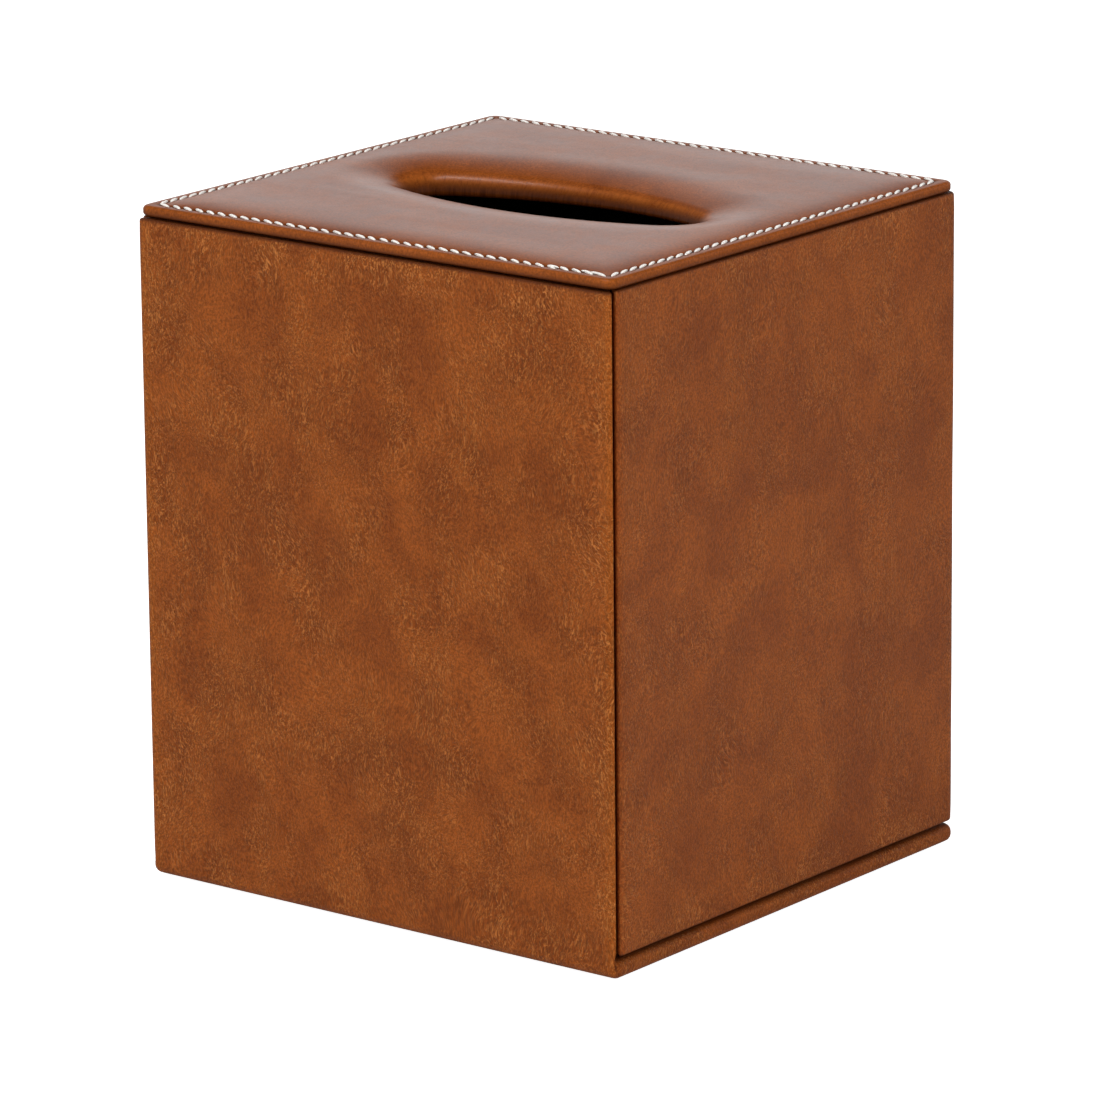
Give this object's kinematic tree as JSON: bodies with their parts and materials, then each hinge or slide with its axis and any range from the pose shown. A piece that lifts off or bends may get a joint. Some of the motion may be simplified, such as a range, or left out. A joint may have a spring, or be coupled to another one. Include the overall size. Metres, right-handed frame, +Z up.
{
  "type": "tissue box with drawer",
  "caption": "Leather-covered cube tissue box: padded lid with a rolled oval slot, and an L-shaped drawer, front and base in one, that slides out to take a pack of tissues.",
  "frame": {"origin": "centre of the bottom face, on the surface that the box stands on", "axes": "+Z up; the drawer's front faces -Y and the drawer slides out along -Y; +X to the right of someone facing the front"},
  "size_m": [0.13, 0.125, 0.1535],
  "materials": {
    "leather": "semi-gloss tan leather, fine grain with short creases",
    "board": "raw fibreboard, hidden",
    "black_board": "fibreboard flocked black",
    "foam": "soft foam, hidden",
    "velour": "black velour",
    "thread": "cream twisted polyester thread",
    "felt": "black wool felt",
    "nylon": "smooth black nylon",
    "magnet": "nickel-plated magnet",
    "steel": "plain steel plate"
  },
  "bodies": {
    "shell": {"lid_board": "board", "lid_step_board": "board", "lid_padding": "foam", "lid_cover": "leather", "lid_lining": "velour", "right_wall_board": "board", "left_wall_board": "board", "back_wall_board": "board", "wall_cover": "leather", "right_wall_lining": "velour", "left_wall_lining": "velour", "back_wall_lining": "velour", "right_runner": "nylon", "left_runner": "nylon", "right_magnet_block": "black_board", "left_magnet_block": "black_board", "catch_magnets": "magnet"},
    "drawer": {"drawer_front_board": "board", "base_board": "board", "drawer_cover": "leather", "drawer_front_lining": "velour", "tray_floor_lining": "velour", "right_tray_side": "black_board", "left_tray_side": "black_board", "tray_back": "black_board", "strike_plates": "steel", "base_felt": "felt"}
  },
  "joints": [
    {"name": "drawer_slide", "type": "slide", "parent": "shell", "child": "drawer", "axis": [0, -1, 0], "range_m": [0, 0.105]}
  ]
}
